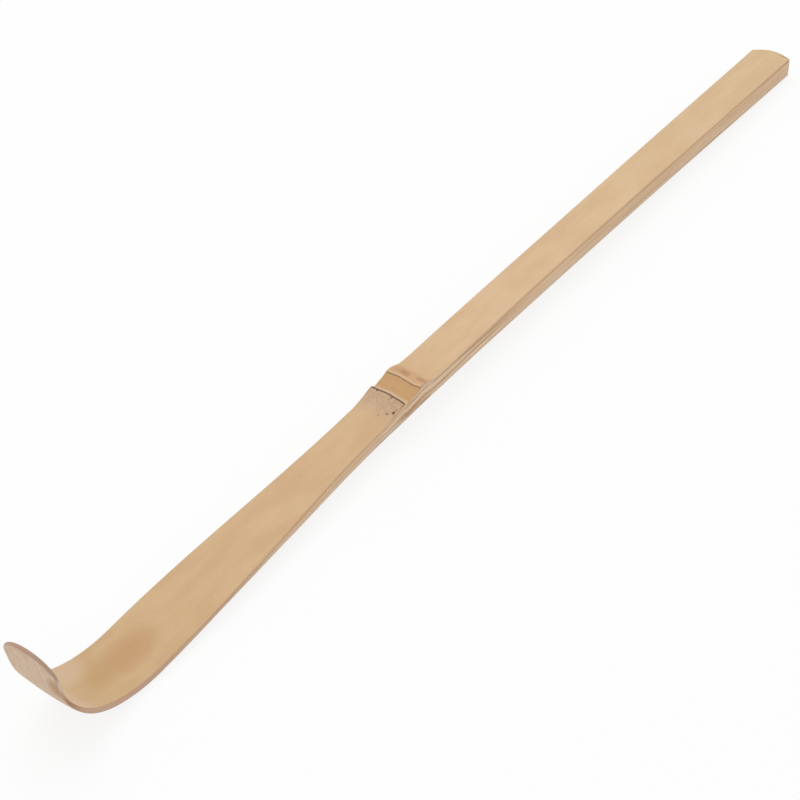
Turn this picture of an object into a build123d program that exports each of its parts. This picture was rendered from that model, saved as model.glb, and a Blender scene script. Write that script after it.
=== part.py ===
from build123d import *
from math import cos, degrees, pi, radians, sin, tan
import os

os.makedirs("parts", exist_ok=True)

# A tea scoop carved from one split of bamboo, lying skin side up on its heel and its handle end.
# +X runs from the turned-up tip to the handle end, +Z is up, z = 0 is the surface it lies on.
# The origin is below the middle of the overall length. Sizes are in millimetres and degrees.

# Lengths along the scoop
overall_length = 180.0
handle_length = 97.2
neck_offset = 7.0
crest_offset = 14.5
waist_offset = 46.0
shoulder_offset = 4.3
blade_share = 0.25
middle_share = 0.5
waist_share = 0.38
grip_share = 0.6
handle_share = 0.84

# Widths
blade_width = 10.5
neck_width = 6.28
waist_width = 5.92
end_width = 6.12
leaf_draw_in = 0.3
leaf_waist_draw_in = 0.46

# The steam bend: how far each arc of the skin side turns
blade_rise = 3.5
heel_turn = 27.0
bend_turn = 50.0
tip_turn = 7.2
heel_radius = 21.7
bend_radius = 15.5
tip_radius = 54.0

# Thicknesses, square to the skin side
tip_thickness = 0.78
leaf_thickness = 0.62
bend_thickness = 0.9
toe_thickness = 1.42
heel_thickness = 1.56
blade_thickness = 1.2
throat_thickness = 1.78
neck_thickness = 2.8
node_thickness = 3.12
waist_thickness = 3.46
grip_thickness = 3.56
handle_thickness = 3.66
end_thickness = 3.7

# The skin side's arch over the node: its sag below the blade's line, its rise beyond the node
# and the angle at which it falls to the handle end
node_sag = 0.2
crest_rise = 0.21
handle_fall = 1.35

# Tip and handle end, seen square on
tip_rounding = 3.6
tip_trim = 0.15
leaf_foot_height = 3.0
leaf_waist_height = 11.6
end_radius = 5.4
end_skew = 1.3
end_arch_radius = 5.6
end_arch_turn = 45.0
end_arch_share = 0.58
rest_land = 3.0

# Gouge in the bend, deepest where the heel ends
hollow_margin = 0.825
hollow_radius = 15.0
hollow_depth = 0.38

# The culm's node: a swelling with the sheath scar's lip, a hollow band and the ridge of the joint
swell_length = 4.2
ring_gap = 4.1
lip_height = 1.0
scar_depth = 0.56
scar_run = 0.8
band_slope = 0.12
ridge_height = 1.25
ridge_slope = 0.6
fade_length = 4.4
fade_turn = 1.0
node_slant = 4.0

# Edges
rim_turn = 60.0
back_edge_radius = 0.3
skin_edge_radius = 0.2
end_edge_radius = 0.15

# Length that a cut runs past what it cuts
overrun = 2.0

# Places worked out from the sizes above
half_length = overall_length / 2
node_x = half_length - handle_length
bend_end = heel_turn + bend_turn
leaf_lean = bend_end + tip_turn
heel_reach = heel_radius * sin(radians(heel_turn))
bend_reach = bend_radius * (sin(radians(bend_end)) - sin(radians(heel_turn)))
tip_reach = tip_radius * (sin(radians(leaf_lean)) - sin(radians(bend_end)))
heel_x = -half_length + heel_reach + bend_reach + tip_reach + tip_thickness * sin(radians(leaf_lean))
heel_lift = heel_radius * (1 - cos(radians(heel_turn)))
bend_lift = bend_radius * (cos(radians(heel_turn)) - cos(radians(bend_end)))
tip_lift = tip_radius * (cos(radians(bend_end)) - cos(radians(leaf_lean)))
tip_height = heel_thickness + heel_lift + bend_lift + tip_lift
shoulder_x = heel_x + shoulder_offset
neck_x = node_x - neck_offset
waist_x = node_x + waist_offset
crest_x = node_x + crest_offset
swell_x = node_x - ring_gap - swell_length
node_height = heel_thickness + (node_x - heel_x) * tan(radians(blade_rise)) - node_sag
crest_height = node_height + crest_rise
ridge_top = node_height + ridge_height
lip_top = node_height - ring_gap * tan(radians(blade_rise)) + lip_height


def below(edge, share, thickness):
    """The point of the back that lies under a point of the skin side."""
    place = edge.position_at(share)
    along = edge.tangent_at(share)
    if along.X < 0:
        along = -along
    return place + Vector(along.Y, -along.X) * thickness


hollow_half = blade_width / 2 - hollow_margin
gouge_centre = (
    heel_x - heel_reach + (hollow_radius - hollow_depth) * sin(radians(heel_turn)),
    0,
    heel_thickness + heel_lift + (hollow_radius - hollow_depth) * cos(radians(heel_turn)),
)
end_centre = (half_length - end_radius, -end_skew, end_thickness * end_arch_share)
node_plane = Plane(
    origin=(node_x, 0, ridge_top),
    x_dir=(cos(radians(node_slant)), -sin(radians(node_slant)), 0),
    z_dir=(-sin(radians(node_slant)), -cos(radians(node_slant)), 0),
)


def rims(part, borders):
    """The sharp edges of a part that run along the given faces, without those of its cut end."""
    faces = part.faces()
    end_edges = faces.sort_by(Axis.X)[-1].edges()
    found = ShapeList()
    for edge in part.edges() - end_edges:
        first, second = [face for face in faces if edge in face.edges()]
        middle = edge.position_at(middle_share)
        turn = first.normal_at(middle).get_angle(second.normal_at(middle))
        if turn > rim_turn and any(edge in face.edges() for face in borders):
            found.append(edge)
    return found


# Seen from above: the blade tapers to the neck, and the handle runs on past its end
with BuildSketch(Plane.XY.offset(-overrun)) as top_view:
    with BuildLine():
        for side in (1, -1):
            blade_half = side * blade_width / 2
            neck_half = side * neck_width / 2
            end_half = side * end_width / 2
            pull = (neck_x - shoulder_x) / 3
            Line((-half_length - overrun, blade_half), (shoulder_x, blade_half))
            Bezier(
                (shoulder_x, blade_half),
                (shoulder_x + pull, blade_half),
                (neck_x - pull, neck_half),
                (neck_x, neck_half),
            )
            Spline(
                (neck_x, neck_half),
                (waist_x, side * waist_width / 2),
                (half_length + overrun, end_half),
                tangents=[(1, 0), (1, 0)],
            )
        Line(
            (half_length + overrun, end_width / 2),
            (half_length + overrun, -end_width / 2),
        )
        Line(
            (-half_length - overrun, blade_width / 2),
            (-half_length - overrun, -blade_width / 2),
        )
    make_face()

# Seen from the front: the leaf draws in and ends in a round tip
with BuildSketch(Plane.YZ.offset(-overall_length)) as front_view:
    with BuildLine():
        leaf_top = tip_height - tip_trim - tip_rounding
        for side in (1, -1):
            blade_half = side * blade_width / 2
            leaf_half = side * (blade_width / 2 - leaf_draw_in)
            leaf_waist_half = side * (blade_width / 2 - leaf_waist_draw_in)
            Line((blade_half, -overrun), (blade_half, leaf_foot_height))
            Spline(
                (blade_half, leaf_foot_height),
                (leaf_waist_half, leaf_waist_height),
                (leaf_half, leaf_top),
                tangents=[(0, 1), (0, 1)],
            )
        EllipticalCenterArc((0, leaf_top), blade_width / 2 - leaf_draw_in, tip_rounding, arc_size=degrees(pi))
        Line((blade_width / 2, -overrun), (-blade_width / 2, -overrun))
    make_face()

# Side view: skin side above, carved back below
with BuildSketch(Plane.XZ.offset(-blade_width / 2)) as side_view:
    with BuildLine():
        heel_point = (heel_x, heel_thickness)
        heel = JernArc(heel_point, (-1, 0), heel_radius, -heel_turn)
        bend = JernArc(heel @ 1, heel % 1, bend_radius, -bend_turn)
        leaf = JernArc(bend @ 1, bend % 1, tip_radius, -tip_turn)
        leaf_end = PolarLine(leaf @ 1, overrun, direction=leaf % 1)
        rise = JernArc(heel_point, (1, 0), heel_radius, blade_rise)
        start = rise @ 1
        blade = Line(start, (swell_x, start.Y + (swell_x - start.X) * tan(radians(blade_rise))))
        swell = Spline(
            blade @ 1,
            (node_x - ring_gap, lip_top),
            (node_x, ridge_top),
            tangents=[blade % 1, (1, 0)],
        )
        fade_point = (node_x + fade_length, node_height + fade_length * tan(radians(fade_turn)))
        fade = Spline(
            swell @ 1,
            fade_point,
            tangents=[(1, 0), Vector(1, 0).rotate(Axis.Z, fade_turn)],
        )
        crest_point = (crest_x, crest_height)
        crest = Spline(fade_point, crest_point, tangents=[fade % 1, (1, 0)])
        handle = Spline(
            crest_point,
            (half_length + overrun, end_thickness),
            tangents=[(1, 0), Vector(1, 0).rotate(Axis.Z, -handle_fall)],
        )
        past_end = Line(handle @ 1, (half_length + overrun, 0))
        land = Line(past_end @ 1, (half_length - rest_land, 0))
        back = Spline(
            land @ 1,
            below(handle, handle_share, handle_thickness),
            below(handle, grip_share, grip_thickness),
            below(handle, waist_share, waist_thickness),
            below(crest, 0, node_thickness),
            below(blade, 1, neck_thickness),
            below(blade, middle_share, throat_thickness),
            below(blade, blade_share, blade_thickness),
            (heel_x, 0),
            tangents=[(-1, 0), (-1, 0)],
        )
        under_bend = Spline(
            back @ 1,
            below(bend, 0, toe_thickness),
            below(bend, middle_share, bend_thickness),
            below(bend, 1, leaf_thickness),
            below(leaf, 1, tip_thickness),
            tangents=[(-1, 0), leaf % 1],
        )
        under_tip = PolarLine(under_bend @ 1, overrun, direction=leaf % 1)
        Line(under_tip @ 1, leaf_end @ 1)
    make_face()

with BuildPart() as bamboo_scoop:
    extrude(side_view.sketch, amount=blade_width)
    extrude(top_view.sketch, amount=tip_height + overrun * 2, mode=Mode.INTERSECT)
    extrude(front_view.sketch, amount=overall_length * 2, mode=Mode.INTERSECT)

    # Soft edges, rounder along the carved back than along the skin side
    back_faces = [bamboo_scoop.faces().sort_by(SortBy.AREA)[-1], bamboo_scoop.faces().sort_by(Axis.Z)[0]]
    fillet(rims(bamboo_scoop.part, back_faces), radius=back_edge_radius)
    fillet(rims(bamboo_scoop.part, bamboo_scoop.faces()), radius=skin_edge_radius)

    # The node's hollow band is cut a little aslant, from the scar's lip to the joint's ridge
    with BuildSketch(node_plane.offset(-blade_width / 2)):
        with BuildLine():
            scar_slope = Vector(scar_run, -scar_depth).normalized()
            lip_point = Vector(-ring_gap, lip_top - ridge_top)
            scar = Line(lip_point - scar_slope * overrun, lip_point + Vector(scar_run, -scar_depth))
            band = Spline(scar @ 1, (0, 0), tangents=[(1, band_slope), (1, ridge_slope)])
            ridge = PolarLine(band @ 1, overrun, direction=band % 1)
            Line(ridge @ 1, scar @ 0)
        make_face()
    extrude(amount=blade_width, mode=Mode.SUBTRACT)

    # Gouge in the bend: a barrel rounder than the bend, so it fades out both ways by itself
    with BuildSketch(Plane(origin=gouge_centre, x_dir=(0, 1, 0), z_dir=(1, 0, 0))):
        with BuildLine():
            barrel = ThreePointArc(
                (-hollow_half, hollow_depth - hollow_radius),
                (0, -hollow_radius),
                (hollow_half, hollow_depth - hollow_radius),
            )
            Polyline(barrel @ 1, (hollow_half, 0), (-hollow_half, 0), barrel @ 0)
        make_face()
    revolve(axis=Axis(gouge_centre, (0, 1, 0)), mode=Mode.SUBTRACT)

    # Handle end, cut round and a little askew, and arched from its top edge to its bottom edge
    with BuildSketch(Plane(origin=end_centre, x_dir=(0, 1, 0), z_dir=(1, 0, 0))):
        with BuildLine():
            arch_centre = (end_radius - end_arch_radius, 0)
            arch = CenterArc(arch_centre, end_arch_radius, -end_arch_turn, end_arch_turn * 2)
            outside = end_radius * 2
            Polyline(arch @ 1, (outside, (arch @ 1).Y), (outside, (arch @ 0).Y), arch @ 0)
        make_face()
    revolve(axis=Axis(end_centre, (0, 0, -1)), revolution_arc=degrees(pi), mode=Mode.SUBTRACT)
    fillet(bamboo_scoop.faces().sort_by(Axis.X)[-1].edges(), radius=end_edge_radius)

bamboo_scoop.part.label = "bamboo_scoop"
export_step(bamboo_scoop.part, "parts/bamboo_scoop.step")
size = bamboo_scoop.part.bounding_box().size
print(f"bamboo_scoop {size.X:.2f} x {size.Y:.2f} x {size.Z:.2f} mm")
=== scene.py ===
import math

import bmesh
import bpy
import numpy as np
from mathutils import Matrix, Vector


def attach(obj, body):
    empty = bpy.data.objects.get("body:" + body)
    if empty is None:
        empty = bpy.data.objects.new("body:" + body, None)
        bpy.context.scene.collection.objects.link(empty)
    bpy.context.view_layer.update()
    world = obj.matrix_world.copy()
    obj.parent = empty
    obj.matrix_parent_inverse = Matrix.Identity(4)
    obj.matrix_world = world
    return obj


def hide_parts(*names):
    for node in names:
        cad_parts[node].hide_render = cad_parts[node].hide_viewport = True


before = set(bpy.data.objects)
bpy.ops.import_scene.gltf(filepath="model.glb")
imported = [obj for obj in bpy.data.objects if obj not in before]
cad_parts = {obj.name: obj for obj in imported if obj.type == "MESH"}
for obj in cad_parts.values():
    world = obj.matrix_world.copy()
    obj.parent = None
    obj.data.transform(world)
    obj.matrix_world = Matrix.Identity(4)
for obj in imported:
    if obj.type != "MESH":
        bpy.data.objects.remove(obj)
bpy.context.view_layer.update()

# A bamboo tea scoop. Sizes are in millimetres until points are placed, and turns are in degrees.
# s is the length along the skin side from the tip's end. A place along, or x, is s counted so that the
# heel is at HEEL_X: on blade and handle it is the real x, and up the bent tip it runs on past -90.
# y is the place across, and the far side is above 0.
MM = 0.001
HALF_LENGTH = 90.0
NODE_X = -7.2
HEEL_X = -70.23

# The steam bend of the skin side: heel, bend and tip are arcs, each up to its own turn
HEEL_HEIGHT = 1.56
HEEL_TURN, BEND_TURN, TIP_TURN = 27.0, 77.0, 84.2
HEEL_RADIUS, BEND_RADIUS, TIP_RADIUS = 21.7, 15.5, 54.0

# From the heel the blade rises in a straight line to STRAIGHT_X. Beyond it the skin side has these heights.
BLADE_RISE = 3.5
STRAIGHT_X = -17.0
HANDLE_HEIGHTS = [(-11, 5.02), (-4, 5.32), (6, 5.42), (30, 5.16), (60, 4.57), (90, 3.69)]
SLOPE_STEP = 0.05

# Widths, and the places that they hold at. The leaf's half widths go by s.
BLADE_WIDTH, NECK_WIDTH, WAIST_WIDTH, END_WIDTH = 10.5, 6.28, 5.92, 6.12
SHOULDER_X, NECK_X, WAIST_X = HEEL_X + 4.3, NODE_X - 7.0, NODE_X + 46
LEAF_S = 18.5
LEAF_HALF_WIDTHS = [(0, 4.95), (3.6, 4.95), (9.2, 4.79), (18.0, 5.25), (19, 5.25)]

# The tip is half an oval that starts at TIP_TRIM and is TIP_ROUNDING long. The handle end is an arc
# across, off the middle by its skew, and a second arc from its top edge to its bottom edge, which stands
# out most at END_ARCH_MIDDLE above the back.
TIP_ROUNDING = 3.6
TIP_TRIM = 0.25
END_RADIUS, END_SKEW = 5.4, 1.3
END_ARCH_RADIUS, END_ARCH_MIDDLE = 5.6, 2.15

# Radii of the soft edges: no more than a share of the thickness, and less round the handle end
TOP_EDGE, TOP_EDGE_SHARE, TOP_EDGE_LESS = 0.2, 0.3, 0.05
BACK_EDGE, BACK_EDGE_SHARE, BACK_EDGE_LESS = 0.3, 0.42, 0.14

# Thickness square to the skin side, by s
THICKNESSES = [
    (0, 0.8), (2.6, 0.62), (5.6, 0.55), (9.6, 0.6), (14, 0.82), (19, 1.2), (22.5, 1.38), (28.5, 1.4),
    (37.5, 1.28), (44.5, 1.2), (56.6, 1.64), (66, 2.2), (75.3, 2.52), (94, 3.05), (122, 3.36), (160, 3.54),
    (190.8, 3.67),
]

# The gouged hollow, deep in the bend and shallow on the blade: depth, then the s where it starts, is full,
# starts to fade and is gone
HOLLOWS = ((0.38, 6.5, 17.5, 20, 36), (0.08, 28, 36, 40, 58))

# The node has a coordinate of its own: 0 on the ridge, SCAR_U at the foot of the sheath scar's lip
NODE_HALF_WIDTH = 3.3
NODE_SLANT = 0.05
RIDGE_WANDER = [
    (-3.3, 0.14), (-2.7, 0.0), (-2, -0.15), (-1.1, -0.1), (0, -0.01), (0.85, 0.05), (1.8, -0.06),
    (3.3, -0.24),
]
SCAR_U = -3.35
SCAR_SHIFT, SCAR_BOW = 0.1, 0.028
SCAR_WAVE, SCAR_WAVE_RATE, SCAR_WAVE_START = 0.03, 2.3, 1

# Height of scar lip, hollow band and ridge above the plain skin, by the node's coordinate
NODE_PROFILE = [
    (-8.4, 0), (-6.8, 0.22), (-5.5, 0.56), (-4.5, 0.9), (-3.9, 1.0), (-3.62, 0.93), (-3.4, 0.5), (-3.3, 0.4),
    (-3.05, 0.5), (-2.7, 0.42), (-1.9, 0.6), (-1.0, 0.78), (-0.4, 1.0), (-0.12, 1.12), (0.08, 1.25),
    (0.8, 1.2), (1.5, 0.95), (2.3, 0.52), (3.1, 0.22), (4.4, 0.08), (6, 0),
]

# Root pores in front of the scar: x, y, radius, depth, and the stain on each as half length, half width
# and share. One more stain has no pore.
PORES = [
    (-11.3, 1.83, 0.16, 0.1, (0.26, 0.2, 0.75)),
    (-11.15, -0.78, 0.16, 0.07, (0.5, 0.18, 0.65)),
    (-14.54, -0.9, 0.1, 0.05, (0.18, 0.18, 0.5)),
    (-13.65, -1.88, 0.14, 0.1, (0.26, 0.24, 0.65)),
    (-13.02, -2.62, 0.2, 0.14, (0.36, 0.3, 0.95)),
]
LOOSE_STAIN = (-12.5, -2.75, 0.5, 0.16, 0.45)

# Rust spots beyond the ridge: x, y, half length, half width, share
RUST_SPOTS = ((-6.2, 0.45, 0.8, 1.05, 0.6), (-6.0, 1.6, 1.1, 1.5, 0.35), (-5.75, -2.2, 0.75, 1.2, 0.65))

# Fibres on the cut sides follow this share of the node's rise
FIBRE_RISE = 0.62

# Where tip and handle end begin, by how far the outline has turned across, and where the back begins,
# by the share of the thickness
END_FROM, END_FULL = 0.3, 0.8
UNDER_FROM, UNDER_FULL = 0.45, 0.9

# Steps of the mesh, and where the outline's sections between tip and handle end meet
RIM_STEPS, WALL_STEPS, TOP_STEPS, BACK_STEPS = 5, 16, 56, 28
TIP_STEPS, END_STEPS = 34, 46
SECTION_STEPS = (96, 110, 190, 170)
BLADE_S, BEFORE_NODE, BEYOND_NODE, END_START_X = 32, 10, 7, 86.4

# The handle end's outline is sampled finely, with a lead on both sides, and its corners are blurred
END_SAMPLES, LEAD_SAMPLES, END_LEAD = 400, 200, 2
BLUR_SPACING, BLUR_WIDTH, BLUR_REACH = 0.02, 0.09, 40

# Distances in metres below which points of the mesh are joined and slivers taken out
MERGE_DISTANCE, SLIVER_DISTANCE = 2e-7, 1e-8

# Stage, in metres and watts: floor, sky, key light and camera. The camera's sensor and lens are in mm.
FLOOR_HALF = 3
FLOOR_COLOUR = (0.94, 0.94, 0.94, 1)
FLOOR_WHITE_SHARE = 0.84
SKY_COLOUR = (1, 1, 1, 1)
SKY_LIGHT = 0.72
KEY_PLACE, KEY_SIZE, KEY_WATTS = (0.15, 0.45, 1.1), 0.9, 5
SENSOR_WIDTH, CAMERA_LENS = 36, 179.47
CAMERA_PLACE = (-0.326318, -0.259006, 0.440910)
CAMERA_RIGHT = (0.62490744, -0.78065988, -0.00780041)
CAMERA_UP = (0.57344403, 0.45220811, 0.68313232)


def rad(a):
    return a * math.pi / 180


def ease(x, a, b):
    """0 below a, 1 above b, smooth between."""
    t = np.clip((np.asarray(x, float) - a) / (b - a), 0, 1)
    return t * t * (3 - 2 * t)


def curve(x, points):
    """A smooth curve through a few points, level beyond them, with no overshoot."""
    px, py = np.array(points, float).T
    h = np.diff(px)
    d = np.diff(py) / h
    m = np.zeros(len(px))
    inner = d[:-1] * d[1:] > 0
    w1, w2 = 2 * h[1:] + h[:-1], h[1:] + 2 * h[:-1]
    with np.errstate(divide="ignore", invalid="ignore"):
        m[1:-1] = np.where(inner, (w1 + w2) / (w1 / d[:-1] + w2 / d[1:]), 0)
    m[0], m[-1] = d[0], d[-1]
    x = np.clip(x, px[0], px[-1])
    i = np.clip(np.searchsorted(px, x, side="right") - 1, 0, len(h) - 1)
    t = (x - px[i]) / h[i]
    return (
        (1 + 2 * t) * (1 - t) ** 2 * py[i]
        + t * (1 - t) ** 2 * h[i] * m[i]
        + t * t * (3 - 2 * t) * py[i + 1]
        + t * t * (t - 1) * h[i] * m[i + 1]
    )


# Arc lengths of the bend, and the arcs from the heel up: radius, turn at the start and at the end
TIP_RUN = TIP_RADIUS * rad(TIP_TURN - BEND_TURN)
BEND_RUN = BEND_RADIUS * rad(BEND_TURN - HEEL_TURN)
HEEL_RUN = HEEL_RADIUS * rad(HEEL_TURN)
HEEL_S = TIP_RUN + BEND_RUN + HEEL_RUN
RISE_RUN = HEEL_RADIUS * rad(BLADE_RISE)
ARCS = (
    (HEEL_RADIUS, 0.0, rad(HEEL_TURN)),
    (BEND_RADIUS, rad(HEEL_TURN), rad(BEND_TURN)),
    (TIP_RADIUS, rad(BEND_TURN), math.inf),
)


def s_at(x):
    return HEEL_S + (x - HEEL_X)


def along(s):
    return HEEL_X + (s - HEEL_S)


END_S = s_at(HALF_LENGTH)


def turned(s):
    """How far the skin side has turned up at s, in radians. It is 0 from the heel on."""
    q = HEEL_S - s
    a = np.where(
        q < HEEL_RUN,
        q / HEEL_RADIUS,
        np.where(
            q < HEEL_RUN + BEND_RUN,
            rad(HEEL_TURN) + (q - HEEL_RUN) / BEND_RADIUS,
            rad(BEND_TURN) + (q - HEEL_RUN - BEND_RUN) / TIP_RADIUS,
        ),
    )
    return np.maximum(a, 0)


def on_arcs(a):
    """Place (x, z) on the bend where the skin side has turned up by a."""
    x, z = HEEL_X, HEEL_HEIGHT
    for radius, first, last in ARCS:
        part = np.clip(a, first, last)
        x = x - radius * (np.sin(part) - math.sin(first))
        z = z + radius * (math.cos(first) - np.cos(part))
    return x, z


def blade_line(x):
    """Height of the blade's straight stretch at x."""
    lifted = HEEL_RADIUS - math.sqrt(HEEL_RADIUS**2 - RISE_RUN**2)
    return HEEL_HEIGHT + lifted + (x - HEEL_X - RISE_RUN) * math.tan(rad(BLADE_RISE))


def skin_height(x):
    return curve(x, [(STRAIGHT_X, blade_line(STRAIGHT_X)), *HANDLE_HEIGHTS])


def skin(s):
    """Skin-side curve: place (x, z) and direction (towards the handle) at length s from the tip."""
    s = np.asarray(s, float)
    a = turned(s)
    x, z = on_arcs(a)
    beyond = np.maximum(s - HEEL_S, 0)
    x = x + beyond
    slope = math.tan(rad(BLADE_RISE))
    z = z + (HEEL_RADIUS - np.sqrt(HEEL_RADIUS**2 - np.minimum(beyond, RISE_RUN) ** 2))
    z = z + np.clip(beyond - RISE_RUN, 0, s_at(STRAIGHT_X) - HEEL_S - RISE_RUN) * slope
    far = x > STRAIGHT_X
    z = np.where(far, skin_height(x), z)
    dz = np.where(far, (skin_height(x + SLOPE_STEP) - skin_height(x - SLOPE_STEP)) / (2 * SLOPE_STEP), 0)
    line_x, line_z = 1 / math.sqrt(1 + slope**2), slope / math.sqrt(1 + slope**2)
    tx = np.where(far, 1 / np.sqrt(1 + dz**2), np.where(beyond > 0, line_x, np.cos(a)))
    tz = np.where(far, dz / np.sqrt(1 + dz**2), np.where(beyond > 0, line_z, -np.sin(a)))
    rising = (beyond > 0) & (beyond < RISE_RUN)
    tz = np.where(rising, beyond / HEEL_RADIUS, tz)
    tx = np.where(rising, np.sqrt(1 - (beyond / HEEL_RADIUS) ** 2), tx)
    return x, z, tx, tz


def half_width(s):
    """Half the width across at s, before the rounded ends."""
    x = along(s)
    leaf = curve(s, LEAF_HALF_WIDTHS)
    taper = BLADE_WIDTH / 2 + (NECK_WIDTH - BLADE_WIDTH) / 2 * ease(x, SHOULDER_X, NECK_X)
    shaft = curve(x, [(NECK_X, NECK_WIDTH / 2), (WAIST_X, WAIST_WIDTH / 2), (HALF_LENGTH, END_WIDTH / 2)])
    return np.where(s < LEAF_S, leaf, np.where(x < NECK_X, taper, shaft))


def thickness(s):
    """Thickness square to the skin side."""
    return curve(s, THICKNESSES)


def hollow(s):
    """How far the middle lies below the edges."""
    return sum(
        depth * ease(s, start, full) * (1 - ease(s, fade, gone))
        for depth, start, full, fade, gone in HOLLOWS
    )


def node_place(s, y):
    """Place in the node's own coordinate, in mm. The lines of scar and ridge wander a little."""
    u = along(s) - NODE_X
    y = np.clip(y, -NODE_HALF_WIDTH, NODE_HALF_WIDTH)
    ridge = -NODE_SLANT * y + curve(y, RIDGE_WANDER)
    wave = SCAR_WAVE * np.sin(SCAR_WAVE_RATE * y + SCAR_WAVE_START)
    scar = SCAR_U + SCAR_SHIFT - NODE_SLANT * y - SCAR_BOW * y * y + wave
    between = SCAR_U * (u - ridge) / (scar - ridge)
    return np.where(u < scar, u - scar + SCAR_U, np.where(u > ridge, u - ridge, between))


def node_rise(s, y):
    """The culm's node above the plain skin, with the pores taken out of it."""
    pores = 0
    for pore_x, pore_y, radius, depth, _ in PORES:
        pores = pores + depth * np.exp(-((along(s) - pore_x) ** 2 + (y - pore_y) ** 2) / radius**2)
    return curve(node_place(s, y), NODE_PROFILE) - pores


def dip(s, y):
    """How far the hollow takes the surface down."""
    return hollow(s) * (1 - np.clip(y / half_width(s), -1, 1) ** 2)


def top_height(s, y):
    return node_rise(s, y) - dip(s, y)


def back_height(s, y):
    return -thickness(s) - dip(s, y)


def point_at(s, y, h):
    """A point of the scoop in metres: s along, y across, h above the skin side's curve."""
    x, z, tx, tz = skin(s)
    return np.stack([(x - h * tz) * MM, y * MM, (z + h * tx) * MM], -1)


def blurred(path_s, path_y):
    """The path at even spacing, with its corners softened."""
    length = np.concatenate([[0], np.cumsum(np.hypot(np.diff(path_s), np.diff(path_y)))])
    even = np.arange(0, length[-1], BLUR_SPACING)
    path = np.interp(even, length, path_s), np.interp(even, length, path_y)
    offsets = np.arange(-BLUR_REACH, BLUR_REACH + 1)
    kernel = np.exp(-0.5 * (offsets * BLUR_SPACING / BLUR_WIDTH) ** 2)
    kernel /= kernel.sum()
    for values in path:
        values[BLUR_REACH:-BLUR_REACH] = np.convolve(values, kernel, "valid")
    return path


def end_sides(start):
    """The outline round the handle end, as far side and near side (s, y), each from s = start to its apex."""
    centre = END_S - END_RADIUS
    a_far = math.asin((END_WIDTH / 2 + END_SKEW) / END_RADIUS)
    a_near = math.asin((END_WIDTH / 2 - END_SKEW) / END_RADIUS)
    arc = np.linspace(a_far, -a_near, END_SAMPLES)
    lead_far = np.linspace(start - END_LEAD, centre + END_RADIUS * math.cos(a_far), LEAD_SAMPLES)
    lead_near = np.linspace(centre + END_RADIUS * math.cos(a_near), start - END_LEAD, LEAD_SAMPLES)
    end_y = -END_SKEW + END_RADIUS * np.sin(arc)
    path_s, path_y = blurred(
        np.concatenate([lead_far, centre + END_RADIUS * np.cos(arc), lead_near]),
        np.concatenate([half_width(lead_far), end_y, -half_width(lead_near)]),
    )
    apex = int(np.argmax(path_s))
    far_start = int(np.searchsorted(path_s[:apex], start))
    near_start = apex + int(np.searchsorted(-path_s[apex:], -start))
    samples = np.arange(len(path_s))
    sides = []
    for first in (far_start, near_start):
        picked = first + np.linspace(0, 1, END_STEPS)[1:] * (apex - first)
        sides.append((np.interp(picked, samples, path_s), np.interp(picked, samples, path_y)))
    return sides


def outline():
    """Both sides of the outline as matched points (s, y): far side and near side, tip to handle end."""
    turn = np.linspace(0, math.pi / 2, TIP_STEPS)
    tip_s = TIP_TRIM + TIP_ROUNDING * (1 - np.cos(turn))
    tip_y = float(half_width(0.0)) * np.sin(turn)
    node_s, end_start = s_at(NODE_X), s_at(END_START_X)
    limits = [tip_s[-1], BLADE_S, node_s - BEFORE_NODE, node_s + BEYOND_NODE, end_start]
    sections = zip(limits, limits[1:], SECTION_STEPS)
    stations = np.concatenate([np.linspace(first, last, steps)[1:] for first, last, steps in sections])
    sides = []
    for sign, (end_s, end_y) in zip((1, -1), end_sides(end_start)):
        side_s = np.concatenate([tip_s, stations, end_s])
        side_y = np.concatenate([sign * tip_y, sign * half_width(stations), end_y])
        sides.append(np.stack([side_s, side_y], 1))
    return sides


def inward(far, near):
    """Unit directions in the plan that point from the outline into the scoop."""
    loop = np.concatenate([far, near[-2:0:-1]])
    step = np.roll(loop, -1, 0) - np.roll(loop, 1, 0)
    step /= np.linalg.norm(step, axis=1)[:, None]
    n = np.stack([step[:, 1], -step[:, 0]], 1)
    n_far = n[: len(far)]
    n_near = np.concatenate([n[:1], n[len(far) - 1 :][::-1]])
    return n_far, n_near


def row(s, y, height, depth, wall, end=0.0):
    """One line of points from tip to handle end, with what the paint needs to know of each."""
    return s, y, height, depth + 0 * s, wall + 0 * s, end + 0 * s


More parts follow.
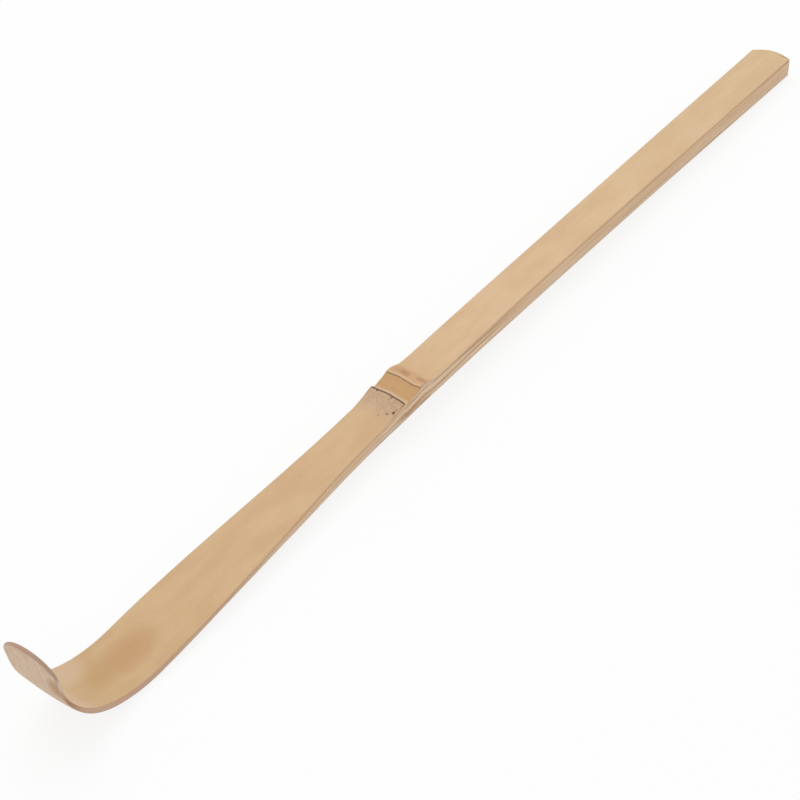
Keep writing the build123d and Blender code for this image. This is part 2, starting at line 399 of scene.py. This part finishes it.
def rim(points, inwards):
    """Rows down one side: round the top edge, down the wall and round the back's edge."""
    line_s, line_y = points.T
    in_s, in_y = inwards.T
    thick = thickness(line_s)
    ends = ease(-in_s * np.sign(line_s - HEEL_S), END_FROM, END_FULL)
    at_end = ends * (line_s > HEEL_S)
    r_top = np.minimum(TOP_EDGE, TOP_EDGE_SHARE * thick) - TOP_EDGE_LESS * at_end
    r_back = np.minimum(BACK_EDGE, BACK_EDGE_SHARE * thick) - BACK_EDGE_LESS * at_end

    def moved_in(inset, depth):
        """The outline moved in, at the handle end further towards its top and bottom."""
        sag = at_end * (thick - depth - END_ARCH_MIDDLE) ** 2 / (2 * END_ARCH_RADIUS)
        return line_s + in_s * (inset + sag), line_y + in_y * (inset + sag)

    rows = []
    turns = np.linspace(0, math.pi / 2, RIM_STEPS + 1)
    for turn in turns:
        drop = r_top * (1 - math.cos(turn))
        s, y = moved_in(r_top * (1 - math.sin(turn)), drop)
        rows.append(row(s, y, top_height(s, y) - drop, drop, math.sin(turn), ends))
    top, bottom = top_height(line_s, line_y) - r_top, back_height(line_s, line_y) + r_back
    for k in range(1, WALL_STEPS):
        t = k / WALL_STEPS
        depth = r_top + (top - bottom) * t
        s, y = moved_in(0, depth)
        rows.append(row(s, y, top + (bottom - top) * t, depth, 1.0, ends))
    for turn in turns[::-1]:
        lift = r_back * (1 - math.cos(turn))
        s, y = moved_in(r_back * (1 - math.sin(turn)), thick - lift)
        rows.append(row(s, y, back_height(s, y) + lift, thick - lift, math.sin(turn), ends))
    return rows


def rows_between(start, stop, steps, height_at, depth_at):
    """Evenly spaced rows across the skin side or the back, from one side's edge to the other's."""
    rows = []
    for k in range(1, steps):
        w = k / steps
        s, y = start[0] + (stop[0] - start[0]) * w, start[1] + (stop[1] - start[1]) * w
        rows.append(row(s, y, height_at(s, y), depth_at(s), 0.0))
    return rows


def scoop_rows():
    """All rows once round the scoop: skin side, far side, back and near side."""
    far, near = outline()
    n_far, n_near = inward(far, near)
    far_rim, near_rim = rim(far, n_far), rim(near, n_near)
    skin_side = rows_between(near_rim[0], far_rim[0], TOP_STEPS, top_height, np.zeros_like)
    back_side = rows_between(far_rim[-1], near_rim[-1], BACK_STEPS, back_height, thickness)
    return skin_side + far_rim + back_side + near_rim[::-1]


def told(s, y, height, depth, wall, end):
    """What the paint reads at each point, in mm, or from 0 to 1 for wall, under and end."""
    return {
        "along": along(s),
        "across": y,
        "depth": depth,
        "lift": height - back_height(s, y),
        "wall": wall,
        "under": ease(depth / thickness(s), UNDER_FROM, UNDER_FULL),
        "end": end * (s > HEEL_S),
        "node": node_place(s, y),
        "fibre": depth - FIBRE_RISE * node_rise(s, y),
    }


def closed(mesh):
    """Joins the points where both sides meet, at tip and handle end, and turns all faces outwards."""
    bm = bmesh.new()
    bm.from_mesh(mesh)
    bmesh.ops.remove_doubles(bm, verts=bm.verts, dist=MERGE_DISTANCE)
    bmesh.ops.dissolve_degenerate(bm, edges=bm.edges, dist=SLIVER_DISTANCE)
    bmesh.ops.recalc_face_normals(bm, faces=bm.faces)
    bm.to_mesh(mesh)
    bm.free()
    mesh.polygons.foreach_set("use_smooth", [True] * len(mesh.polygons))
    mesh.update()
    return mesh


def scoop_mesh():
    rows = scoop_rows()
    ring, count = len(rows), len(rows[0][0])
    points = np.stack([point_at(s, y, height) for s, y, height, *_ in rows], 1).reshape(-1, 3)
    i, j = np.meshgrid(np.arange(count - 1), np.arange(ring), indexing="ij")
    after = (j + 1) % ring
    corners = [i * ring + j, i * ring + after, (i + 1) * ring + after, (i + 1) * ring + j]
    mesh = bpy.data.meshes.new("bamboo_scoop_skin")
    mesh.from_pydata(points.tolist(), [], np.stack(corners, -1).reshape(-1, 4).tolist())
    row_values = [told(*values) for values in rows]
    for name in row_values[0]:
        value = np.stack([values[name] for values in row_values], 1).reshape(-1)
        attribute = mesh.attributes.new(name, "FLOAT", "POINT")
        attribute.data.foreach_set("value", value.astype(np.float32))
    return closed(mesh)


class Paint:
    """Writes a node tree as sums: each call adds a node and gives its output."""

    def __init__(self, owner):
        owner.use_nodes = True
        self.tree = owner.node_tree

    def join(self, value, socket):
        """Links an output to the socket, or sets a plain value on it."""
        if isinstance(value, bpy.types.NodeSocket):
            self.tree.links.new(value, socket)
        else:
            socket.default_value = value

    def add(self, kind, sockets, out=0, **settings):
        node = self.tree.nodes.new(kind)
        for key, value in settings.items():
            setattr(node, key, value)
        for key, value in sockets.items():
            self.join(value, node.inputs[key])
        return node.outputs[out]

    def read(self, name):
        return self.add("ShaderNodeAttribute", {}, "Fac", attribute_name=name, attribute_type="GEOMETRY")

    def calculate(self, operation, *values):
        return self.add("ShaderNodeMath", dict(enumerate(values)), operation=operation)

    def plus(self, a, b):
        return self.calculate("ADD", a, b)

    def times(self, a, b):
        return self.calculate("MULTIPLY", a, b)

    def step(self, value, low, high, first=0.0, last=1.0):
        """Runs smoothly from first, where the value is low, to last, where it is high."""
        sockets = {0: value, 1: low, 2: high, 3: first, 4: last}
        return self.add("ShaderNodeMapRange", sockets, interpolation_type="SMOOTHSTEP")

    def window(self, value, low, high, soft):
        """1 between low and high, 0 outside, soft at both sides."""
        up = self.step(value, low - soft, low + soft)
        down = self.step(value, high - soft, high + soft, 1.0, 0.0)
        return self.times(up, down)

    def spot(self, x, y, cx, cy, rx, ry):
        """1 at the middle of an oval, falling smoothly to 0 at its edge."""
        dx = self.times(self.plus(x, -cx), 1 / rx)
        dy = self.times(self.plus(y, -cy), 1 / ry)
        return self.step(self.plus(self.times(dx, dx), self.times(dy, dy)), 0.0, 1.0, 1.0, 0.0)

    def vector(self, *parts):
        return self.add("ShaderNodeCombineXYZ", dict(enumerate(parts)))

    def noise(self, x, y, z, detail=3, rough=0.5, distortion=0.0):
        place = {"Vector": self.vector(x, y, z), "Scale": 1.0}
        grain = {"Detail": detail, "Roughness": rough, "Distortion": distortion}
        return self.add("ShaderNodeTexNoise", place | grain, "Fac")

    def mix(self, share, a, b, blend="MIX"):
        return self.add("ShaderNodeMix", {0: share, 6: a, 7: b}, 2, data_type="RGBA", blend_type=blend)

    def coat(self, base, colour, where, strength=1.0):
        """The base with a colour over it, where and as strongly as told."""
        return self.mix(self.times(where, strength), base, colour)

    def ramp(self, value, low, high, stops):
        """A run of colours while the value goes from low to high."""
        node = self.tree.nodes.new("ShaderNodeValToRGB")
        elements = node.color_ramp.elements
        while len(elements) < len(stops):
            elements.new(0.5)
        for element, (at, colour) in zip(elements, stops):
            element.position = at
            element.color = colour
        self.join(self.add("ShaderNodeMapRange", {0: value, 1: low, 2: high}), node.inputs[0])
        return node.outputs[0]

    def seen(self):
        """1 for what the camera or a reflection sees, 0 for what only gives light."""
        rays = self.tree.nodes.new("ShaderNodeLightPath").outputs
        return self.calculate("MAXIMUM", rays["Is Camera Ray"], rays["Is Glossy Ray"])


def srgb(*levels):
    """A colour as seen on a screen, as the linear colour that nodes take."""
    shares = [level / 255 for level in levels]
    return tuple(c / 12.92 if c <= 0.04045 else ((c + 0.055) / 1.055) ** 2.4 for c in shares) + (1.0,)


# Colours of the skin side
SKIN_COLOURS = [
    (0.0, srgb(208, 176, 138)), (0.05, srgb(206, 174, 132)), (0.16, srgb(209, 175, 132)),
    (0.3, srgb(211, 177, 136)), (0.46, srgb(210, 176, 135)), (0.52, srgb(219, 186, 148)),
    (1.0, srgb(217, 188, 149)),
]
CLOUD_TINT, STREAK, SPECK = srgb(247, 244, 240), srgb(199, 164, 122), srgb(226, 198, 162)
BLOTCH, BEND_BROWN, BEND_PALE = srgb(191, 147, 100), srgb(198, 164, 116), srgb(217, 191, 164)
# FAR_RIM_SHADE is painted shade: a greyish line where the skin rounds over to the far side
LEAF_FACE, FAR_RIM_SHADE = srgb(213, 186, 157), srgb(178, 152, 122)

# Colours of the node
PATCH_DARK, PATCH_PALE, GRIME = srgb(176, 146, 122), srgb(203, 173, 148), srgb(150, 118, 92)
DARK_DOT, PORE_STAIN = srgb(146, 112, 86), srgb(104, 70, 46)
GOLD, GOLD_PALE = srgb(193, 149, 97), srgb(203, 162, 114)
# SCAR_DIRT_AND_SHADE is partly dirt and partly painted shade of the drop behind the scar's lip
LIP_PALE, SCAR_DIRT_AND_SHADE, BEYOND_RIDGE = srgb(224, 197, 166), srgb(100, 74, 56), srgb(206, 163, 122)
RUST, RIDGE_PALE, RIDGE_DARK = srgb(164, 118, 84), srgb(226, 197, 163), srgb(134, 98, 72)

# Colours of the cut sides, the leaf's edge from its top down, the back and the handle end
SIDE_ABOVE, SIDE_BELOW, BLADE_SIDE = srgb(220, 182, 142), srgb(223, 195, 163), srgb(208, 174, 141)
FIBRE_PALE, FIBRE_DARK, FIBRE_FINE = srgb(240, 214, 184), srgb(163, 121, 87), srgb(182, 146, 114)
# FOOT_SHADE is painted shade, a darker line along the side's bottom edge
CREASE, BEND_SIDE, FOOT_SHADE = srgb(178, 141, 104), srgb(200, 163, 138), srgb(176, 152, 128)
# Painted highlights where a lens-shaped facet and a swelling at the node catch the light
LENS_HIGHLIGHT, SWELL_HIGHLIGHT = srgb(222, 208, 188), srgb(214, 190, 170)
EDGE_COLOURS = [
    (0.0, srgb(172, 140, 120)), (0.18, srgb(176, 149, 131)), (0.32, srgb(220, 203, 183)),
    (0.42, srgb(200, 172, 148)), (0.54, srgb(176, 134, 100)), (0.66, srgb(164, 121, 84)),
    (0.82, srgb(178, 140, 98)), (1.0, srgb(190, 158, 122)),
]
FLESH, FLESH_DASH, FLESH_PALE = srgb(217, 190, 163), srgb(186, 149, 118), srgb(226, 205, 181)
APEX, TOAST, BRUISE = srgb(206, 158, 134), srgb(184, 142, 104), srgb(196, 160, 140)
END_GRAIN, BUNDLE = srgb(211, 186, 152), srgb(150, 112, 80)

# Ovals on the scoop: x, y, half length, half width
HEEL_BLOTCH, FAINT_BLOTCH = (-70.3, 0.2, 7.2, 3.9), (-75.6, 0.4, 5.5, 3.4)
BROWNED_BEND, PALE_BEND = (-80.0, 0.0, 9.0, 9.0), (-80.6, 4.6, 6.4, 5.0)
LEAF_TIP, LEAF_STREAK = (-100.4, 0.6, 1.5, 2.2), (-94.6, -4.7, 3.4, 2.6)

# Ovals on the cut side: x, height above the back (lens) or depth below the skin (swell), half length,
# half height
LENS, SWELL = (-14.0, 0.75, 3.6, 0.5), (-5.4, 0.62, 2.6, 0.62)

# Bands in the node's coordinate: from, to, softness
PATCH_BAND, GRIME_BAND, DOT_BAND = (-7.0, -3.4, 1.7), (-4.6, -3.3, 0.6), (-6.6, -3.6, 1.0)
SCAR_BAND, LIP_BAND, GOLD_BAND = (-3.98, -3.6, 0.08), (-3.32, -3.04, 0.08), (-2.75, -0.25, 0.25)
RIDGE_DARK_BAND, RIDGE_PALE_BAND = (-0.26, -0.08, 0.08), (0.02, 0.2, 0.09)
BEYOND_RIDGE_BAND = (0.2, 2.4, 0.7)
ROUGH_BAND, RELIEF_BAND = (-7.4, 2.6, 0.8), (-7.4, -3.4, 1.0)

# Stretches of x: where a look starts and where it is full. The leaf edge's colours run over EDGE_RUN.
LEAF_FACE_X, BRUISE_X, LEAF_EDGE_X = (-81.5, -86.5), (-86.0, -92.0), (HEEL_X - 14.0, HEEL_X - 20.0)
BLADE_SIDE_X, BEND_SIDE_X, CREASE_X = (-32.0, -56.0), (-62.0, -72.0), (-84.0, -60.0)
EDGE_RUN = (-101.0, -84.0)

# Fibres show most in this window of x. The crease lies at a depth below the skin, and the foot at a
# height above the back: from, to, softness. The far rim starts and is full at these places across.
NODE_SIDE_X, CREASE_DEPTH, FOOT_HEIGHT = (-19.0, 9.0, 6.0), (0.14, 0.42, 0.1), (0.0, 0.3, 0.12)
FAR_RIM_Y = (1.5, 2.5)

# Shine and relief, the relief's height in metres
SPECULAR = 0.25
RELIEF_STRENGTH, RELIEF_HEIGHT = 0.35, 0.0001


class Bamboo(Paint):
    """The scoop's paint. It goes by what the mesh tells of each point."""

    def __init__(self, material):
        super().__init__(material)
        self.x, self.y = self.read("along"), self.read("across")
        self.depth, self.lift = self.read("depth"), self.read("lift")
        self.wall, self.under, self.end = self.read("wall"), self.read("under"), self.read("end")
        self.node, self.fibre = self.read("node"), self.read("fibre")
        self.streak = self.texture(0.06, 2.6, 8.0, detail=4, rough=0.6)
        self.mottle = self.texture(1.5, 1.7, 2.0, detail=4, rough=0.65, distortion=0.6)
        self.dash = self.texture(0.16, 5.0, 12.0, rough=0.6)
        self.cloudy = self.texture(0.07, 1.6, 20.0)
        self.fine = self.noise(self.times(self.x, 0.12), self.times(self.fibre, 9.0), self.y, rough=0.6)

    def texture(self, by_x, by_y, layer, **grain):
        """Noise over the scoop, so fine per mm along and across. Each layer has its own pattern."""
        return self.noise(self.times(self.x, by_x), self.times(self.y, by_y), layer, **grain)

    def oval(self, x, y, half_along, half_across):
        return self.spot(self.x, self.y, x, y, half_along, half_across)

    def band(self, low, high, soft):
        """A band across, in the node's own coordinate."""
        return self.window(self.node, low, high, soft)

    def plain_skin(self):
        """Tan, darker in front of the node than beyond it, with faint clouds, streaks and specks."""
        skin_tan = self.ramp(self.x, -HALF_LENGTH, HALF_LENGTH, SKIN_COLOURS)
        clouded = self.mix(1.0, skin_tan, CLOUD_TINT, "MULTIPLY")
        skin_tan = self.mix(self.step(self.texture(0.11, 0.3, 3.0), 0.35, 0.7), skin_tan, clouded)
        skin_tan = self.coat(skin_tan, STREAK, self.step(self.streak, 0.45, 0.75), strength=0.28)
        specks = self.step(self.texture(1.3, 5.0, 1.0, detail=2), 0.55, 0.8)
        return self.coat(skin_tan, SPECK, specks, strength=0.25)

    def toasted(self, base):
        """A toasted blotch at the heel, the browned bend with a pale spot, and the leaf's paler face."""
        fainter = self.times(self.oval(*FAINT_BLOTCH), 0.8)
        blotch = self.calculate("MAXIMUM", self.oval(*HEEL_BLOTCH), fainter)
        uneven = self.plus(0.72, self.times(self.texture(0.3, 0.5, 5.0), 0.5))
        base = self.coat(base, BLOTCH, self.times(blotch, uneven), strength=0.78)
        base = self.coat(base, BEND_BROWN, self.oval(*BROWNED_BEND), strength=0.35)
        base = self.coat(base, BEND_PALE, self.oval(*PALE_BEND), strength=0.5)
        return self.coat(base, LEAF_FACE, self.step(self.x, *LEAF_FACE_X), strength=0.8)

    def sheath_patch(self, base):
        """The mottled patch in front of the scar, with grime, dark dots and stained pores."""
        patch = self.times(self.band(*PATCH_BAND), self.plus(0.08, self.mottle))
        mottled = self.mix(self.step(self.mottle, 0.35, 0.65), PATCH_DARK, PATCH_PALE)
        base = self.mix(patch, base, mottled)
        grime = self.step(self.texture(2.6, 2.2, 7.0), 0.5, 0.72)
        base = self.coat(base, GRIME, self.times(self.band(*GRIME_BAND), grime), strength=0.6)
        dots = self.step(self.texture(4.5, 4.5, 15.0, detail=2), 0.62, 0.7)
        base = self.coat(base, DARK_DOT, self.times(dots, self.band(*DOT_BAND)), strength=0.55)
        stains = [(x, y, *stain) for x, y, _, _, stain in PORES]
        for x, y, half_along, half_across, share in [*stains, LOOSE_STAIN]:
            base = self.coat(base, PORE_STAIN, self.oval(x, y, half_along, half_across), strength=share)
        return base

    def scar_and_ridge(self, base):
        """Golden band between scar and ridge, the scar's lines (the dark one is dirt and painted shade of the
        scar's drop), rust, and the ridge's broken line.
        """
        golden = self.mix(self.texture(0.9, 0.8, 4.0), GOLD, GOLD_PALE)
        base = self.coat(base, golden, self.band(*GOLD_BAND), strength=0.9)
        base = self.coat(base, LIP_PALE, self.band(*LIP_BAND), strength=0.8)
        # Dark line on the lip's top: dirt, and painted shade of the drop beyond it
        base = self.coat(base, SCAR_DIRT_AND_SHADE, self.band(*SCAR_BAND), strength=0.9)
        base = self.coat(base, BEYOND_RIDGE, self.band(*BEYOND_RIDGE_BAND), strength=0.75)
        for x, y, half_along, half_across, share in RUST_SPOTS:
            uneven = self.plus(0.6, self.times(self.mottle, 0.6))
            rust = self.times(self.oval(x, y, half_along, half_across), uneven)
            base = self.coat(base, RUST, rust, strength=share)
        base = self.coat(base, RIDGE_PALE, self.band(*RIDGE_PALE_BAND), strength=0.6)
        unbroken = self.step(self.noise(3.0, self.times(self.y, 1.7), 6.0), 0.36, 0.56)
        strength = self.plus(0.45, self.times(unbroken, 0.5))
        return self.coat(base, RIDGE_DARK, self.band(*RIDGE_DARK_BAND), strength)

    def skin_side(self):
        """The whole skin side, with a greyish line of painted shade where it rounds over to the far side."""
        whole = self.scar_and_ridge(self.sheath_patch(self.toasted(self.plain_skin())))
        # Painted shade along the far edge's rounding
        far_rim = self.times(self.step(self.wall, 0.05, 0.6), self.step(self.y, *FAR_RIM_Y))
        return self.coat(whole, FAR_RIM_SHADE, far_rim, strength=0.55)

    def fibres(self):
        """Cut sides with fibres that run along the scoop and surface at the node."""
        thick = self.calculate("MAXIMUM", self.plus(self.depth, self.lift), 0.1)
        side = self.mix(self.calculate("DIVIDE", self.depth, thick), SIDE_ABOVE, SIDE_BELOW)
        side = self.mix(self.step(self.x, *BLADE_SIDE_X), side, BLADE_SIDE)
        near_node = self.window(self.x, *NODE_SIDE_X)
        run, layers, across = self.times(self.x, 0.05), self.times(self.fibre, 3.1), self.times(self.y, 0.3)
        lines = self.noise(run, layers, across, rough=0.55, distortion=0.15)
        pale = self.times(self.step(lines, 0.5, 0.58), self.plus(0.35, self.times(near_node, 0.65)))
        dark = self.times(self.step(lines, 0.47, 0.38), self.plus(0.3, self.times(near_node, 0.5)))
        side = self.mix(dark, self.mix(pale, side, FIBRE_PALE), FIBRE_DARK)
        return self.coat(side, FIBRE_FINE, self.step(self.fine, 0.52, 0.7), strength=0.4)

    def cut_side(self):
        """The side's marks: crease, bend, painted shade along the foot, two pale places at the node that are
        painted highlights on a facet and a swelling, and the leaf's edge.
        """
        crease = self.times(self.window(self.depth, *CREASE_DEPTH), self.step(self.x, *CREASE_X))
        side = self.coat(self.fibres(), CREASE, crease, strength=0.5)
        side = self.coat(side, BEND_SIDE, self.step(self.x, *BEND_SIDE_X), strength=0.7)
        # Painted shade along the side's bottom edge
        side = self.coat(side, FOOT_SHADE, self.window(self.lift, *FOOT_HEIGHT), strength=0.4)
        # Painted highlight for a lens-shaped facet near the bottom edge
        side = self.coat(side, LENS_HIGHLIGHT, self.spot(self.x, self.lift, *LENS), strength=0.7)
        # Painted highlight for the swelling at the node
        swell = self.spot(self.x, self.depth, *SWELL)
        side = self.coat(side, SWELL_HIGHLIGHT, swell, strength=0.75)
        leaf_edge = self.step(self.x, *LEAF_EDGE_X)
        return self.coat(side, self.ramp(self.x, *EDGE_RUN, EDGE_COLOURS), leaf_edge, strength=0.85)

    def carved_back(self):
        """Pale flesh with brown dashes. The raised leaf also has a darker tip, a brown streak and bruises."""
        flesh = self.coat(FLESH, FLESH_DASH, self.step(self.dash, 0.5, 0.75), strength=0.7)
        flesh = self.coat(flesh, FLESH_PALE, self.step(self.cloudy, 0.45, 0.7), strength=0.5)
        flesh = self.coat(flesh, APEX, self.oval(*LEAF_TIP), strength=0.5)
        toast = self.times(self.oval(*LEAF_STREAK), self.plus(0.7, self.times(self.cloudy, 0.5)))
        flesh = self.coat(flesh, TOAST, toast, strength=0.9)
        bruise = self.step(self.texture(0.5, 0.9, 9.0), 0.48, 0.66)
        on_leaf = self.step(self.x, *BRUISE_X)
        return self.coat(flesh, BRUISE, self.times(bruise, on_leaf), strength=0.35)

    def handle_end(self):
        """Cut fibre bundles, darker towards the skin."""
        place = self.vector(self.times(self.y, 3.4), self.times(self.depth, 4.2), 0.0)
        bundle = self.add("ShaderNodeTexVoronoi", {"Vector": place, "Scale": 1.0}, "Distance")
        darker = self.plus(0.9, self.times(self.depth, -0.12))
        return self.coat(END_GRAIN, BUNDLE, self.step(bundle, 0.34, 0.16), darker)

    def roughness(self):
        """Skin is a little smoother than cut bamboo, and the node is a little rougher."""
        skin_share = self.times(self.step(self.wall, 0.9, 0.3), self.calculate("SUBTRACT", 1.0, self.under))
        rough = self.plus(0.62, self.times(skin_share, -0.16))
        rough = self.plus(rough, self.times(self.plus(self.streak, -0.5), 0.12))
        return self.plus(rough, self.times(self.band(*ROUGH_BAND), 0.08))

    def relief(self):
        """Fibres on the sides, streaks everywhere, dashes on the back and mottles on the patch."""
        height = self.plus(self.times(self.fine, self.times(self.wall, 0.6)), self.times(self.streak, 0.25))
        height = self.plus(height, self.times(self.dash, self.times(self.under, 0.6)))
        return self.plus(height, self.times(self.mottle, self.times(self.band(*RELIEF_BAND), 0.5)))


def bamboo():
    material = bpy.data.materials.new("bamboo")
    p = Bamboo(material)
    shader = p.tree.nodes["Principled BSDF"]
    faces = p.mix(p.under, p.skin_side(), p.carved_back())
    edges = p.mix(p.end, p.cut_side(), p.handle_end())
    p.join(p.mix(p.step(p.wall, 0.45, 0.95), faces, edges), shader.inputs["Base Color"])
    p.join(p.roughness(), shader.inputs["Roughness"])
    p.join(SPECULAR, shader.inputs["Specular IOR Level"])
    relief = {"Height": p.relief(), "Strength": RELIEF_STRENGTH, "Distance": RELIEF_HEIGHT}
    p.join(p.add("ShaderNodeBump", relief), shader.inputs["Normal"])
    return material


def floor_material():
    """Matt in the light it gives back, and mostly plain white where the camera or a reflection sees it."""
    material = bpy.data.materials.new("floor")
    p = Paint(material)
    matt = p.tree.nodes["Principled BSDF"]
    p.join(FLOOR_COLOUR, matt.inputs["Base Color"])
    p.join(1.0, matt.inputs["Roughness"])
    p.join(0.0, matt.inputs["Specular IOR Level"])
    share = p.times(p.seen(), FLOOR_WHITE_SHARE)
    white = p.add("ShaderNodeEmission", {})
    mixed = p.add("ShaderNodeMixShader", {0: share, 1: matt.outputs[0], 2: white})
    p.join(mixed, p.tree.nodes["Material Output"].inputs["Surface"])
    return material


def floor_mesh():
    mesh = bpy.data.meshes.new("floor")
    corners = [(FLOOR_HALF * i, FLOOR_HALF * j, 0) for i, j in ((-1, -1), (1, -1), (1, 1), (-1, 1))]
    mesh.from_pydata(corners, [], [(0, 1, 2, 3)])
    mesh.materials.append(floor_material())
    return mesh


def light_sky():
    """An even sky that gives SKY_LIGHT and is plain white where the camera or a reflection sees it."""
    world = bpy.data.worlds.new("world")
    bpy.context.scene.world = world
    p = Paint(world)
    sky = p.tree.nodes["Background"]
    p.join(SKY_COLOUR, sky.inputs["Color"])
    p.join(p.add("ShaderNodeMapRange", {0: p.seen(), 3: SKY_LIGHT, 4: 1.0}), sky.inputs["Strength"])


def add_object(name, data):
    """A new object with this data, in the scene."""
    added = bpy.data.objects.new(name, data)
    bpy.context.scene.collection.objects.link(added)
    return added


def add_key_light():
    """One soft lamp above and behind the scoop, turned to the origin."""
    lamp = bpy.data.lights.new("key", "AREA")
    lamp.size = KEY_SIZE
    lamp.energy = KEY_WATTS
    key = add_object("key", lamp)
    key.location = KEY_PLACE
    key.rotation_euler = (-Vector(KEY_PLACE)).to_track_quat("-Z", "Y").to_euler()


def add_camera():
    """The photo's camera: its place, and its right and up as directions of the scene."""
    data = bpy.data.cameras.new("camera")
    data.sensor_width = SENSOR_WIDTH
    data.lens = CAMERA_LENS
    camera = add_object("camera", data)
    right, up = Vector(CAMERA_RIGHT), Vector(CAMERA_UP)
    columns = (right, up, right.cross(up), Vector(CAMERA_PLACE))
    camera.matrix_world = Matrix([[column[k] for column in columns] for k in range(3)] + [(0, 0, 0, 1)])
    bpy.context.scene.camera = camera


scoop = add_object("scoop", scoop_mesh())
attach(scoop, "root")
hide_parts("bamboo_scoop")
scoop.data.materials.append(bamboo())

floor = add_object("floor", floor_mesh())
light_sky()
add_key_light()
add_camera()
bpy.context.scene.view_settings.view_transform = "Standard"
